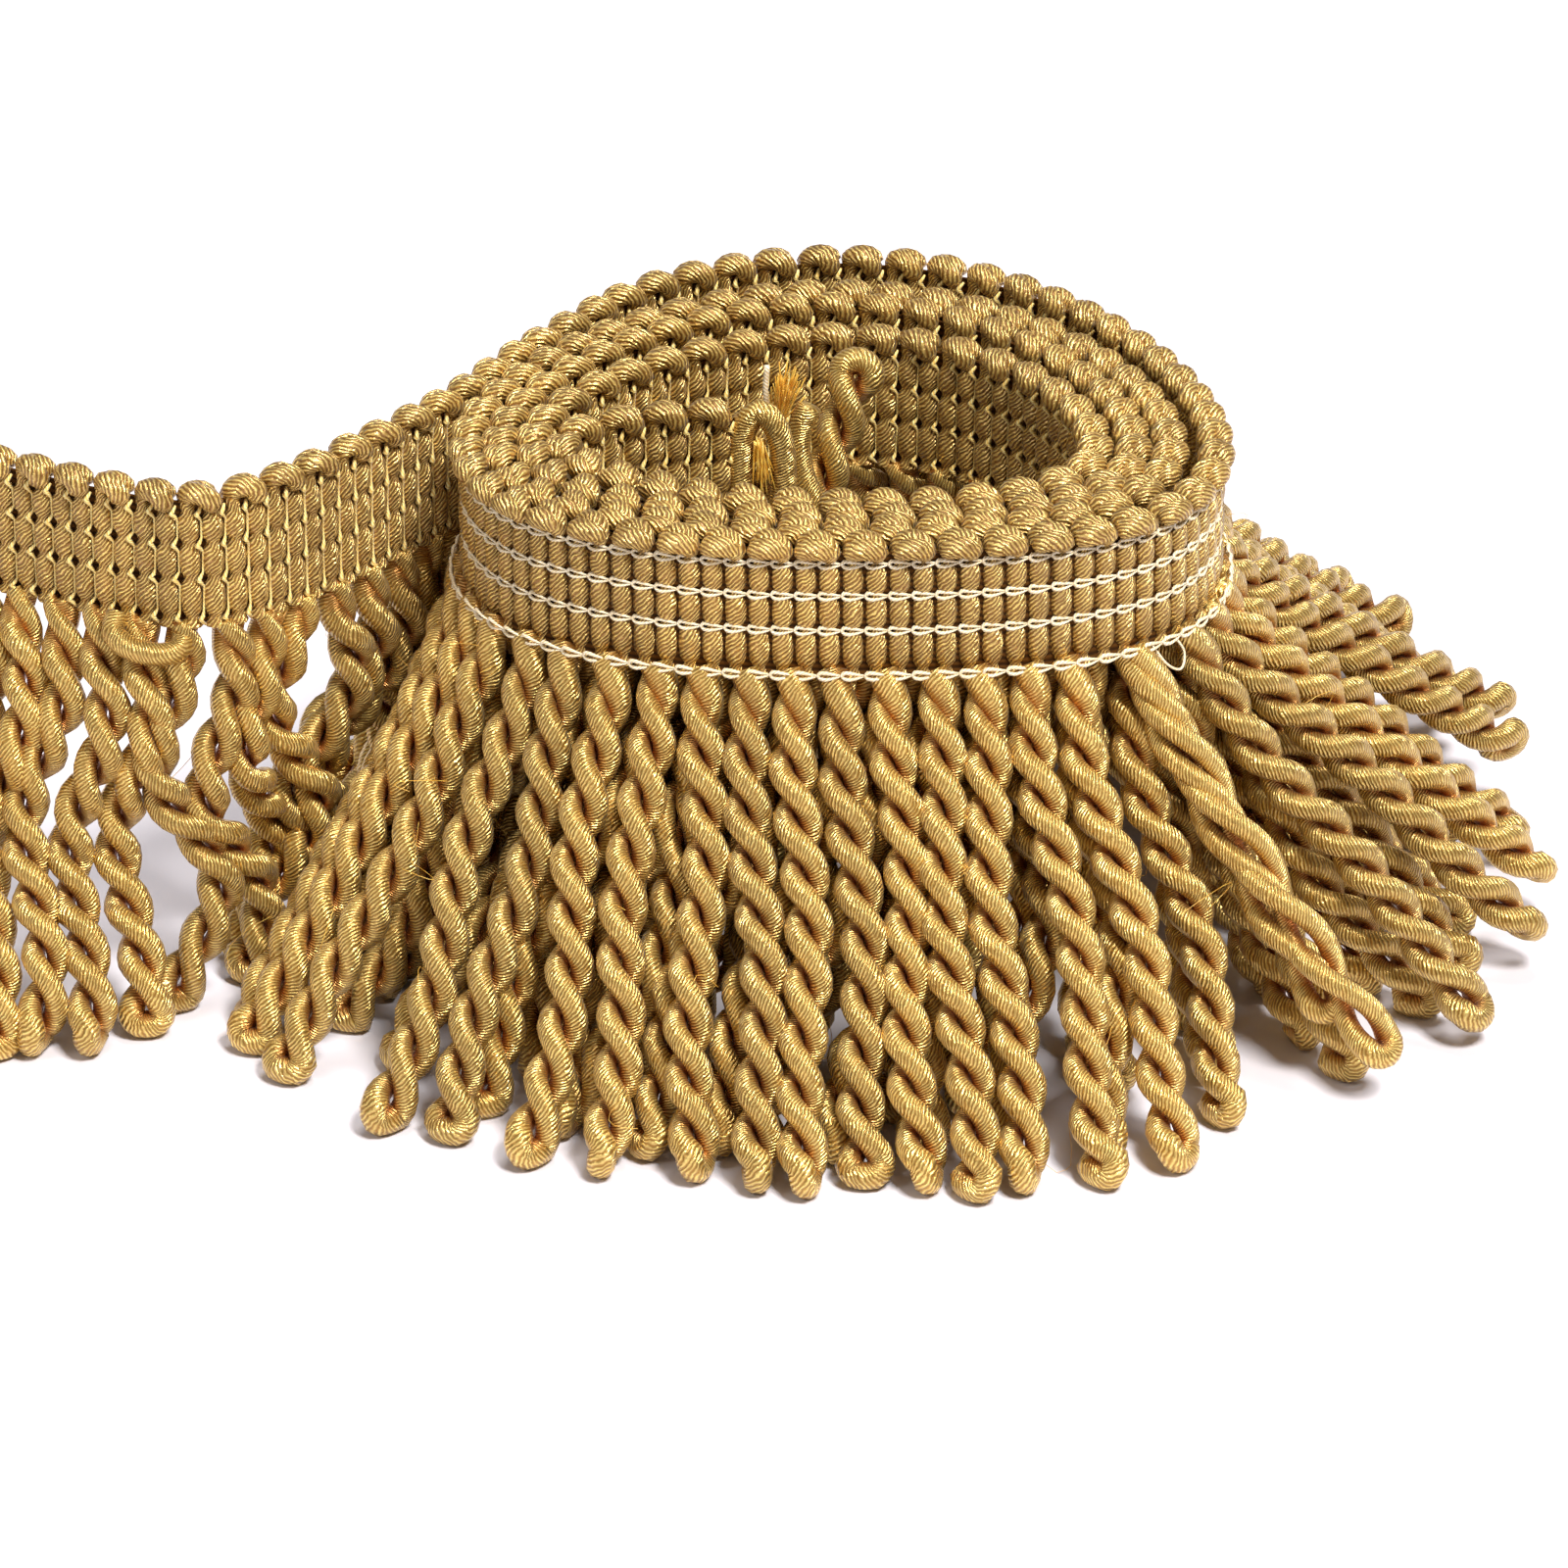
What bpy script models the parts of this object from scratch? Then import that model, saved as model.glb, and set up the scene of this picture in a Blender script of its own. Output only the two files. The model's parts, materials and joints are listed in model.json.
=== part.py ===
"""Bullion fringe trim, wound into a roll that stands on the ends of its cords, with a loose tail.

Two pieces: the knitted heading tape, and the comb of cords that hangs from its lower edge. Both follow
one plan line, which winds outwards from the inner end and then leaves the roll as the tail. Each is made as one
solid for each turn and one for the tail, so that their collision stays open between the turns.
Metres, +Z up. The origin lies on the floor, under the middle of the whole object.
"""

import math
from collections import namedtuple

import bmesh
import bpy
import numpy as np

MM = 0.001

# Heading tape
HEADING_FOOT = 46.0 * MM
HEADING_TOP = 64.4 * MM
HEADING_THICKNESS = 2.6 * MM
LOOP_DIP = 1.6 * MM
HEADING_GAP = 0.3 * MM
CORD_PITCH = 5.3 * MM

# Comb of cords
COMB_GAP = 0.3 * MM
COMB_TOP = HEADING_FOOT - COMB_GAP
SLOT_WIDTH = 1.0 * MM
FLARE_CURVE = 1.15

# Plan of the roll: the point on the floor that its turns are measured from, and the angles, in degrees
# counted anticlockwise from +X, where the tape's inner end starts and where its outer end leaves the roll.
ROLL_X = 20.0 * MM
ROLL_Y = -14.8 * MM
START_ANGLE = 108.0
LEAVE_ANGLE = 1575.0
OUTER_TURN_ANGLE = 1230.0
ANGLE_STEP = 15.0
STEPS_PER_SPAN = 6

# Distance of the tape from the roll's axis at its four sides, in millimetres, from the inner turn outwards.
Turn = namedtuple("Turn", "back left front right")
TURNS = (
    Turn(back=9.5, left=32.0, front=16.0, right=29.5),
    Turn(back=30.0, left=35.6, front=19.6, right=34.0),
    Turn(back=39.0, left=39.4, front=23.2, right=38.3),
    Turn(back=42.6, left=43.2, front=26.9, right=43.6),
    Turn(back=53.0, left=46.0, front=30.0, right=46.0),
)

# The skirt: how far the cord ends stand out from the heading, in millimetres, and how far that direction is
# turned from square to the tape, in degrees, for each side of the roll. At the left the outer turn's cords
# sweep forwards, clear of the tail that leaves over them, and the turns inside it hang almost straight.
Flare = namedtuple("Flare", "side reach swing")
OUTER_FLARES = (
    Flare(side=90, reach=42.0, swing=0),
    Flare(side=120, reach=38.0, swing=0),
    Flare(side=138, reach=24.0, swing=0),
    Flare(side=150, reach=5.0, swing=40),
    Flare(side=160, reach=11.0, swing=75),
    Flare(side=167, reach=20.0, swing=60),
    Flare(side=175, reach=28.0, swing=52),
    Flare(side=182, reach=36.0, swing=40),
    Flare(side=195, reach=38.0, swing=20),
    Flare(side=220, reach=37.0, swing=8),
    Flare(side=270, reach=38.5, swing=5),
    Flare(side=310, reach=38.0, swing=-2),
    Flare(side=340, reach=37.0, swing=14),
    Flare(side=360, reach=40.0, swing=22),
    Flare(side=385, reach=44.0, swing=10),
    Flare(side=420, reach=44.0, swing=-4),
    Flare(side=450, reach=42.0, swing=0),
)
INNER_FLARES = (
    Flare(side=90, reach=42.0, swing=0),
    Flare(side=130, reach=22.0, swing=0),
    Flare(side=150, reach=4.0, swing=0),
    Flare(side=180, reach=4.0, swing=0),
    Flare(side=210, reach=22.0, swing=0),
    Flare(side=250, reach=38.0, swing=0),
    Flare(side=360, reach=38.0, swing=0),
    Flare(side=450, reach=42.0, swing=0),
)
INNER_SHARE = 0.35

# The trim's stretches, from the inner end outwards, each from its own turn angle to the next one's.
Stretch = namedtuple("Stretch", "name start_angle")
STRETCHES = (
    Stretch(name="inner_turn", start_angle=START_ANGLE),
    Stretch(name="second_turn", start_angle=510.0),
    Stretch(name="third_turn", start_angle=870.0),
    Stretch(name="outer_turn", start_angle=OUTER_TURN_ANGLE),
    Stretch(name="tail", start_angle=LEAVE_ANGLE),
)

# The loose tail, from the roll outwards, in millimetres from the roll's axis.
TailRow = namedtuple("TailRow", "x y reach swing")
TAIL = (
    TailRow(x=-35.6, y=28.6, reach=22.0, swing=0),
    TailRow(x=-40.4, y=21.0, reach=15.0, swing=0),
    TailRow(x=-44.4, y=14.4, reach=8.0, swing=0),
    TailRow(x=-49.4, y=7.6, reach=4.0, swing=0),
    TailRow(x=-58.7, y=-3.2, reach=2.0, swing=0),
    TailRow(x=-67.4, y=-11.2, reach=1.0, swing=0),
    TailRow(x=-75.4, y=-13.8, reach=-8.0, swing=0),
    TailRow(x=-85.9, y=-10.2, reach=-20.0, swing=0),
    TailRow(x=-97.0, y=-4.6, reach=-24.0, swing=0),
    TailRow(x=-107.0, y=0.4, reach=-20.0, swing=0),
    TailRow(x=-117.0, y=5.4, reach=-16.0, swing=0),
)

# Sections of the comb: height, and how far it stands out from the plan line on the tape's two faces.
Section = namedtuple("Section", "height outer inner")
BAND_TOP = Section(height=COMB_TOP, outer=1.3 * MM, inner=1.3 * MM)
BAND_FOOT = Section(height=42.5 * MM, outer=1.3 * MM, inner=1.3 * MM)
TOOTH_END = Section(height=0.0, outer=3.0 * MM, inner=1.3 * MM)

GOLD_HEADING = (0.46, 0.27, 0.07, 1.0)
GOLD_CORD = (0.58, 0.33, 0.07, 1.0)


def half_size(angle, marks, sizes):
    """Size at an angle, easing from one marked size to the next so that each mark is a true extreme."""
    place = np.clip(np.searchsorted(marks, angle, side="right") - 1, 0, len(marks) - 2)
    share = np.clip((angle - marks[place]) / (marks[place + 1] - marks[place]), 0.0, 1.0)
    share = share * share * (3.0 - 2.0 * share)
    return sizes[place] * (1.0 - share) + sizes[place + 1] * share


def flare_column(side, flares, column):
    return np.interp(side, [row.side for row in flares], [getattr(row, column) for row in flares])


def flare_at(angle):
    """Reach and swing of the skirt at a turn angle: full on the outer turn, less on each turn inside it."""
    side = (angle - 90.0) % 360.0 + 90.0
    outer = angle >= OUTER_TURN_ANGLE
    share = INNER_SHARE + (1.0 - INNER_SHARE) * (angle - START_ANGLE) / (OUTER_TURN_ANGLE - START_ANGLE)
    inner_reach = share * flare_column(side, INNER_FLARES, "reach")
    reach = np.where(outer, flare_column(side, OUTER_FLARES, "reach"), inner_reach)
    return reach, np.where(outer, flare_column(side, OUTER_FLARES, "swing"), 0.0)


def control_rows():
    """Rows of x, y and reach in millimetres, and swing and turn angle in degrees, along the whole tape."""
    angles = np.arange(START_ANGLE, LEAVE_ANGLE, ANGLE_STEP)
    quarters = 90.0 * np.arange(1, 1 + 4 * len(TURNS))
    sizes = np.array([size for turn in TURNS for size in turn])
    across = half_size(angles, quarters[1::2], sizes[1::2])
    along = half_size(angles, quarters[0::2], sizes[0::2])
    reach, swing = flare_at(angles)
    turns = np.radians(angles)
    wound = np.column_stack((across * np.cos(turns), along * np.sin(turns), reach, swing, angles))
    tail_angles = LEAVE_ANGLE + ANGLE_STEP * np.arange(len(TAIL))
    return np.vstack((wound, np.column_stack((np.array(TAIL), tail_angles))))


def smooth_rows(rows):
    """Catmull-Rom curve through the rows, as many closely spaced rows."""
    padded = np.vstack((2.0 * rows[0] - rows[1], rows, 2.0 * rows[-1] - rows[-2]))
    before, start, end, after = padded[:-3], padded[1:-2], padded[2:-1], padded[3:]
    spans = []
    for t in np.arange(STEPS_PER_SPAN) / STEPS_PER_SPAN:
        curve = 2.0 * start + (end - before) * t
        curve += (2.0 * before - 5.0 * start + 4.0 * end - after) * t**2
        curve += (3.0 * start - before - 3.0 * end + after) * t**3
        spans.append(curve / 2.0)
    fine = np.stack(spans, axis=1).reshape(-1, rows.shape[1])
    return np.vstack((fine, rows[-1]))


class PlanLine:
    """The tape's plan line, read by the length of tape from its inner end."""

    def __init__(self):
        rows = smooth_rows(control_rows())
        self.x = ROLL_X + rows[:, 0] * MM
        self.y = ROLL_Y + rows[:, 1] * MM
        self.reach = rows[:, 2] * MM
        self.swing = rows[:, 3]
        self.angle = rows[:, 4]
        steps = np.hypot(np.diff(self.x), np.diff(self.y))
        self.lengths = np.concatenate(([0.0], np.cumsum(steps)))
        self.heading = np.unwrap(np.arctan2(np.gradient(self.y), np.gradient(self.x)))
        self.length = self.lengths[-1]
        self.cords = round(self.length / CORD_PITCH)
        self.pitch = self.length / self.cords

    def at(self, station):
        """(point, along, outward, reach, swing) at one station."""
        x = np.interp(station, self.lengths, self.x)
        y = np.interp(station, self.lengths, self.y)
        turn = np.interp(station, self.lengths, self.heading)
        along = np.array((math.cos(turn), math.sin(turn)))
        outward = np.array((along[1], -along[0]))
        reach = np.interp(station, self.lengths, self.reach)
        swing = math.radians(np.interp(station, self.lengths, self.swing))
        return np.array((x, y)), along, outward, reach, swing


def extrude_to(bm, face, corners):
    """Extrudes a face and moves its corners. Returns the new face and the old corners' vertices."""
    old = list(face.verts)
    face = bmesh.ops.extrude_discrete_faces(bm, faces=[face])["faces"][0]
    for vert, corner in zip(face.verts, corners):
        vert.co = corner
    return face, old


def first_face(bm, corners):
    return bm.faces.new([bm.verts.new(corner) for corner in corners])


def close(bm):
    """Caps the open start of a lofted strip."""
    edges = [edge for edge in bm.edges if edge.is_boundary]
    bmesh.ops.holes_fill(bm, edges=edges, sides=4)
    bmesh.ops.recalc_face_normals(bm, faces=bm.faces)


def material(name, colour, roughness):
    made = bpy.data.materials.new(name)
    made.use_nodes = True
    shader = made.node_tree.nodes["Principled BSDF"]
    shader.inputs["Base Color"].default_value = colour
    shader.inputs["Roughness"].default_value = roughness
    shader.inputs["Metallic"].default_value = 0.0
    return made


def place_object(name, bm, finish):
    mesh = bpy.data.meshes.new(name)
    bm.to_mesh(mesh)
    bm.free()
    mesh.materials.append(finish)
    bpy.context.collection.objects.link(bpy.data.objects.new(name, mesh))


def wall(point, outward, thickness, top, bottom):
    """Corners of an upright section: outer top, outer bottom, inner bottom, inner top."""
    outer = point + outward * thickness / 2.0
    inner = point - outward * thickness / 2.0
    return [(*outer, top), (*outer, bottom), (*inner, bottom), (*inner, top)]


def make_heading(name, line, cords, finish):
    """One stretch of the tape's wall, its top edge rising to a crown at each loop, which joins two cords' ribs.

    It runs from the dip in the middle of its first cord to the one past its last cord, or to the tape's own end.
    """
    halves = 2 * line.cords
    first = 2 * cords[0] + 1 if cords[0] else 0
    last = min(2 * cords[-1] + 3, halves)
    bm = bmesh.new()
    face = None
    for i in range(first, last + 1):
        station = line.length * i / halves
        if i == first and first > 0:
            station += HEADING_GAP / 2.0
        if i == last and last < halves:
            station -= HEADING_GAP / 2.0
        point, _, outward, _, _ = line.at(station)
        crown = i % 2 == 0 and 0 < i < halves
        top = HEADING_TOP if crown else HEADING_TOP - LOOP_DIP
        corners = wall(point, outward, HEADING_THICKNESS, top, HEADING_FOOT)
        if face is None:
            face = first_face(bm, corners)
        else:
            face, _ = extrude_to(bm, face, corners)
    close(bm)
    place_object(name, bm, finish)


def flared(place, section):
    """Plan points of a section's outer and inner side, moved out by the flare at its height."""
    point, _, outward, reach, swing = place
    depth = 1.0 - section.height / COMB_TOP
    cos, sin = math.cos(swing), math.sin(swing)
    aim = np.array((outward[0] * cos - outward[1] * sin, outward[0] * sin + outward[1] * cos))
    centre = point + aim * reach * depth**FLARE_CURVE
    return centre + outward * section.outer, centre - outward * section.inner


def band_corners(line, station):
    """The comb's root at one station: outer top, outer foot, inner foot, inner top."""
    place = line.at(station)
    outer_top, inner_top = flared(place, BAND_TOP)
    outer_foot, inner_foot = flared(place, BAND_FOOT)
    top, foot = BAND_TOP.height, BAND_FOOT.height
    return [(*outer_top, top), (*outer_foot, foot), (*inner_foot, foot), (*inner_top, top)]


def hang_tooth(bm, roots, line, start, end):
    """Extrudes one tooth from its root to the floor, wider there as the skirt fans out.

    The root's vertices are its outer and inner one at the start station, then at the end station.
    """
    sides = (*flared(line.at(start), TOOTH_END), *flared(line.at(end), TOOTH_END))
    tips = {vert: (*side, TOOTH_END.height) for vert, side in zip(roots, sides)}
    root = bm.faces.get((roots[0], roots[1], roots[3], roots[2]))
    extrude_to(bm, root, [tips[vert] for vert in root.verts])


def make_comb(name, line, cords, finish):
    """One stretch of the comb: a narrow band under the heading, with a tooth for each cord, flared to the floor."""
    bm = bmesh.new()
    face = first_face(bm, band_corners(line, cords[0] * line.pitch + SLOT_WIDTH / 2.0))
    roots = []
    for i in cords:
        start = i * line.pitch + SLOT_WIDTH / 2.0
        end = (i + 1) * line.pitch - SLOT_WIDTH / 2.0
        face, old = extrude_to(bm, face, band_corners(line, end))
        new = list(face.verts)
        roots.append((start, end, (old[1], old[2], new[1], new[2])))
        if i != cords[-1]:
            face, _ = extrude_to(bm, face, band_corners(line, end + SLOT_WIDTH))
    close(bm)
    for start, end, verts in roots:
        hang_tooth(bm, verts, line, start, end)
    bmesh.ops.recalc_face_normals(bm, faces=bm.faces)
    place_object(name, bm, finish)


def make_trim(line):
    """Every stretch of heading and comb. A cord belongs to the stretch that the middle of its root lies in."""
    heading_finish = material("heading_gold", GOLD_HEADING, 0.55)
    cord_finish = material("cord_gold", GOLD_CORD, 0.45)
    middles = (np.arange(line.cords) + 0.5) * line.pitch
    angles = np.interp(middles, line.lengths, line.angle)
    ends = [stretch.start_angle for stretch in STRETCHES[1:]] + [math.inf]
    for stretch, end in zip(STRETCHES, ends):
        cords = np.flatnonzero((angles >= stretch.start_angle) & (angles < end)).tolist()
        make_heading("heading_" + stretch.name, line, cords, heading_finish)
        make_comb("fringe_" + stretch.name, line, cords, cord_finish)


def main():
    for obj in list(bpy.data.objects):
        bpy.data.objects.remove(obj)
    make_trim(PlanLine())


main()
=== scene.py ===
"""Looks of a rolled bullion fringe: ribbed heading, edge loops, chain stitching and two-ply twisted cords.

Laid out as a Blender add-on and run as a script. Metres, +Z up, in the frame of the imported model.
"""

import json
import math
from collections import namedtuple

import bmesh
import bpy
import numpy as np
from bpy.props import FloatProperty, FloatVectorProperty, IntProperty, PointerProperty
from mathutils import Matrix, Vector

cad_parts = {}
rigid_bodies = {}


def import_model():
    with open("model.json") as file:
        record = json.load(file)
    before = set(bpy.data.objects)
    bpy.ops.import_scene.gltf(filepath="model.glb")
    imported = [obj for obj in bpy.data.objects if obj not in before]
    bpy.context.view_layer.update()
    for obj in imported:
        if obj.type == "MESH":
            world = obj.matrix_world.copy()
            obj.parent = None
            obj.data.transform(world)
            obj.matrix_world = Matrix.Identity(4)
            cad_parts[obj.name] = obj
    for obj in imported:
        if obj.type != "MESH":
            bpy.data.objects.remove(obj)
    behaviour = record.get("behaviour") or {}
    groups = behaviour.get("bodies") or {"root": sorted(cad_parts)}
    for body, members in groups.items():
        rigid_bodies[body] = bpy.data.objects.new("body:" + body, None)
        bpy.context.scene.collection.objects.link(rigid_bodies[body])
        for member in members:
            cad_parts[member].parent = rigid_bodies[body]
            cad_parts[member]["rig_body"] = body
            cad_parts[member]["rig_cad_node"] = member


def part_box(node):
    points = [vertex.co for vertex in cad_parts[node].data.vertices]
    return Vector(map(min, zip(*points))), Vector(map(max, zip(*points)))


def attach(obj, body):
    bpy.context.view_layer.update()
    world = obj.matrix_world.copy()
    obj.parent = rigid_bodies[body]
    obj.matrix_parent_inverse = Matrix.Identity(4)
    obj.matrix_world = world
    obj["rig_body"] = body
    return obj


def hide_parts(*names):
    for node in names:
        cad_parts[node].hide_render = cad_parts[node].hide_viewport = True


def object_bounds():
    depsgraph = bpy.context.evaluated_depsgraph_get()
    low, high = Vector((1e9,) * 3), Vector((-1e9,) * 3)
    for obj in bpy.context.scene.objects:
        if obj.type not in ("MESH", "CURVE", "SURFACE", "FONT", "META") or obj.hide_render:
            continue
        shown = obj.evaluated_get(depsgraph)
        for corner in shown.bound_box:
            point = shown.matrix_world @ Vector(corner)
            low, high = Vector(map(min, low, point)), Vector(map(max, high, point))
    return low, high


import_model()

bl_info = {
    "name": "Rolled bullion fringe",
    "version": (1, 0, 0),
    "blender": (4, 5, 0),
    "location": "View3D > Sidebar > Fringe",
    "description": "Builds a rolled bullion fringe trim, strand by strand",
    "category": "Add Mesh",
}

MM = 0.001
CAD_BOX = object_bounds()
HEADING_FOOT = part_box("heading_outer_turn")[0][2]
HEADING_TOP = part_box("heading_outer_turn")[1][2]
HEADING_NODES = ["heading_" + part for part in ("inner_turn", "second_turn", "third_turn", "outer_turn", "tail")]

# Plan of the roll, as the solids have it: the point that the turns are measured from, and the angles, in
# degrees anticlockwise from +X, where the tape starts and where it leaves the roll as the tail.
ROLL_X = 20.0 * MM
ROLL_Y = -14.8 * MM
START_ANGLE = 108.0
LEAVE_ANGLE = 1575.0
OUTER_TURN_ANGLE = 1230.0
THIRD_TURN_ANGLE = 870.0
SECOND_TURN_ANGLE = 510.0
ANGLE_STEP = 15.0
STEPS_PER_SPAN = 6
FLARE_CURVE = 1.15

# Distance of the tape from the roll's axis at its four sides, in millimetres, from the inner turn outwards.
Turn = namedtuple("Turn", "back left front right")
TURNS = (
    Turn(back=9.5, left=32.0, front=16.0, right=29.5),
    Turn(back=30.0, left=35.6, front=19.6, right=34.0),
    Turn(back=39.0, left=39.4, front=23.2, right=38.3),
    Turn(back=42.6, left=43.2, front=26.9, right=43.6),
    Turn(back=53.0, left=46.0, front=30.0, right=46.0),
)

# How far the cord ends stand out, in millimetres, and how far that direction is turned, in degrees.
Flare = namedtuple("Flare", "side reach swing")
OUTER_FLARES = (
    Flare(side=90, reach=42.0, swing=0),
    Flare(side=120, reach=38.0, swing=0),
    Flare(side=138, reach=24.0, swing=0),
    Flare(side=150, reach=5.0, swing=40),
    Flare(side=160, reach=11.0, swing=75),
    Flare(side=167, reach=20.0, swing=60),
    Flare(side=175, reach=28.0, swing=52),
    Flare(side=182, reach=36.0, swing=40),
    Flare(side=195, reach=38.0, swing=20),
    Flare(side=220, reach=37.0, swing=8),
    Flare(side=270, reach=38.5, swing=5),
    Flare(side=310, reach=38.0, swing=-2),
    Flare(side=340, reach=37.0, swing=14),
    Flare(side=360, reach=40.0, swing=22),
    Flare(side=385, reach=44.0, swing=10),
    Flare(side=420, reach=44.0, swing=-4),
    Flare(side=450, reach=42.0, swing=0),
)
INNER_FLARES = (
    Flare(side=90, reach=42.0, swing=0),
    Flare(side=130, reach=22.0, swing=0),
    Flare(side=150, reach=4.0, swing=0),
    Flare(side=180, reach=4.0, swing=0),
    Flare(side=210, reach=22.0, swing=0),
    Flare(side=250, reach=38.0, swing=0),
    Flare(side=360, reach=38.0, swing=0),
    Flare(side=450, reach=42.0, swing=0),
)
INNER_SHARE = 0.35

# How high the outer turn's cord ends lie on the cords under them, in millimetres, by side in degrees.
Lift = namedtuple("Lift", "side height")
LIFTS = (
    Lift(side=328, height=0.0),
    Lift(side=350, height=7.5),
    Lift(side=375, height=9.5),
    Lift(side=400, height=11.0),
    Lift(side=430, height=9.0),
    Lift(side=450, height=5.0),
)

# The loose tail, from the roll outwards, in millimetres from the roll's axis.
TailRow = namedtuple("TailRow", "x y reach swing")
TAIL = (
    TailRow(x=-35.6, y=28.6, reach=22.0, swing=0),
    TailRow(x=-40.4, y=21.0, reach=15.0, swing=0),
    TailRow(x=-44.4, y=14.4, reach=8.0, swing=0),
    TailRow(x=-49.4, y=7.6, reach=4.0, swing=0),
    TailRow(x=-58.7, y=-3.2, reach=2.0, swing=0),
    TailRow(x=-67.4, y=-11.2, reach=1.0, swing=0),
    TailRow(x=-75.4, y=-13.8, reach=-8.0, swing=0),
    TailRow(x=-85.9, y=-10.2, reach=-20.0, swing=0),
    TailRow(x=-97.0, y=-4.6, reach=-24.0, swing=0),
    TailRow(x=-107.0, y=0.4, reach=-20.0, swing=0),
    TailRow(x=-117.0, y=5.4, reach=-16.0, swing=0),
)

# The cords of each turn: where they lie as turn angles, how finely they are swept, with a point every step of so
# many millimetres, how far the first and the last lean along the tape, and how strongly they wave, in millimetres.
CordGroup = namedtuple("CordGroup", "part low high resolution step first_lean last_lean wave")
CORD_GROUPS = (
    CordGroup("outer_turn", OUTER_TURN_ANGLE, LEAVE_ANGLE, 3, 0.95, 0.0, 0.0, 2.4),
    CordGroup("tail", LEAVE_ANGLE, math.inf, 3, 0.95, -1.0, 0.9, 10.0),
    CordGroup("third_turn", THIRD_TURN_ANGLE, OUTER_TURN_ANGLE, 2, 1.2, 1.0, 1.0, 5.0),
    CordGroup("second_turn", SECOND_TURN_ANGLE, THIRD_TURN_ANGLE, 2, 1.3, 1.0, 1.0, 5.0),
    CordGroup("inner_turn", START_ANGLE, SECOND_TURN_ANGLE, 2, 1.3, 1.0, 1.0, 5.0),
)

# Heights of the four rows of stitching, as depths below the top of the loops, in millimetres.
STITCH_DEPTHS = (3.8, 7.8, 12.2, 17.2)

# A cord's sizes, and how one cord hangs: changes of reach and swing, how far its end is carried along the tape,
# how high it lies, how strongly it waves and where the wave and the twist begin.
CordShape = namedtuple("CordShape", "ply_radius twist_radius loop_radius lay")
Pose = namedtuple("Pose", "reach swing lean lift wave wave_turn twist_turn")

# A strand's route: points, radius and cord axis at each, the axis's direction, and its own shade from 0 to 1.
Strand = namedtuple("Strand", "points radii axis aim tone")

# Where on the outer turn two cords are laid up as one, and where two threads have been pulled out. Each thread's
# route is in millimetres along the tape, above the heading's foot and out from the tape.
THICK_CORD_ANGLE = 1393.0
PULLED_THREAD_ANGLE = 1398.0
PULLED_THREADS = (
    ((0.0, 0.5, 1.2), (0.6, -1.8, 2.8), (2.0, -3.4, 3.6), (3.4, -2.0, 3.2), (2.6, 0.3, 2.4), (0.8, 0.6, 1.8)),
    ((3.2, 0.6, 1.4), (4.0, -1.4, 3.0), (5.6, -2.4, 3.4), (6.8, -1.0, 2.6), (6.2, 0.8, 1.8)),
)

SEED = 41

# Points along a cord's middle line, and how much of its length a leaning cord takes up, the rest being slack.
AXIS_POINTS = 40
TAKEN_UP = 0.97

# A strand's closing point stands this far past its end: a curve drops a point that lies on the one before.
END_STEP = 0.05 * MM


# ---------------------------------------------------------------- sizes and colours that a user would change


def length(name, size, description):
    """A setting that is a length, given in millimetres."""
    return FloatProperty(name=name, description=description, default=size * MM, unit="LENGTH", subtype="DISTANCE")


class BullionCordSettings(bpy.types.PropertyGroup):
    """The twisted cords of the skirt."""

    pitch: length("Pitch", 5.3, "Spacing of the cords along the tape")
    longest_lean: length("Longest lean", 24.0, "How far an inner cord's end may be carried along the tape")
    length: length("Length", 62.0, "The most length that a leaning cord takes up from the heading to its end loop")
    ply_radius: length("Ply radius", 1.43, "Half the thickness of one of the two plies")
    twist_radius: length("Twist radius", 1.5, "Distance of each ply's middle from the cord's axis")
    loop_radius: length("Loop radius", 1.85, "Half the width of the end loop, to the ply's middle")
    lay: length("Lay", 12.6, "Length of one full twist")
    # Gold is painted highlight on the filament ridge crests, and deep gold is painted shade in the hollows between
    # them.
    light: FloatVectorProperty(
        name="Gold", description="Colour of the filament ridges", subtype="COLOR", default=(1.0, 0.74, 0.23))
    body: FloatVectorProperty(
        name="Deep gold", description="Colour between the ridges", subtype="COLOR", default=(0.37, 0.18, 0.022))


class HeadingSettings(bpy.types.PropertyGroup):
    """The ribbed, looped tape."""

    rib_radius: length("Rib radius", 1.37, "Half the thickness of a gimp rib between two rows of stitching")
    pinch: length("Pinch", 0.58, "How far the stitching draws a rib in")
    loop_ply_radius: length(
        "Loop ply radius", 1.3, "Half the thickness of the cord where it turns over as an edge loop")
    thread_radius: length("Stitch thread radius", 0.2, "Half the thickness of the stitching thread")
    ground_thickness: length("Ground thickness", 0.4, "Thickness of the knitted ground behind the ribs")


class StageSettings(bpy.types.PropertyGroup):
    """Camera, floor and lights."""

    elevation: FloatProperty(
        name="Elevation", description="Height of the view above the horizon",
        default=math.radians(28.0), subtype="ANGLE", unit="ROTATION")
    distance: FloatProperty(
        name="Distance", description="From the camera to the middle of the view",
        default=0.9, unit="LENGTH", subtype="DISTANCE")
    lens: FloatProperty(
        name="Focal length", description="On a sensor 36 mm wide", default=170.5)
    key_power: IntProperty(
        name="Key light", description="Power of the main soft light, in watts", default=42)


# ---------------------------------------------------------------- plan line


def half_size(angle, marks, sizes):
    """Size at an angle, easing from one marked size to the next so that each mark is a true extreme."""
    place = np.clip(np.searchsorted(marks, angle, side="right") - 1, 0, len(marks) - 2)
    share = np.clip((angle - marks[place]) / (marks[place + 1] - marks[place]), 0.0, 1.0)
    share = share * share * (3.0 - 2.0 * share)
    return sizes[place] * (1.0 - share) + sizes[place + 1] * share


def flare_column(side, flares, column):
    return np.interp(side, [row.side for row in flares], [getattr(row, column) for row in flares])


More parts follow.
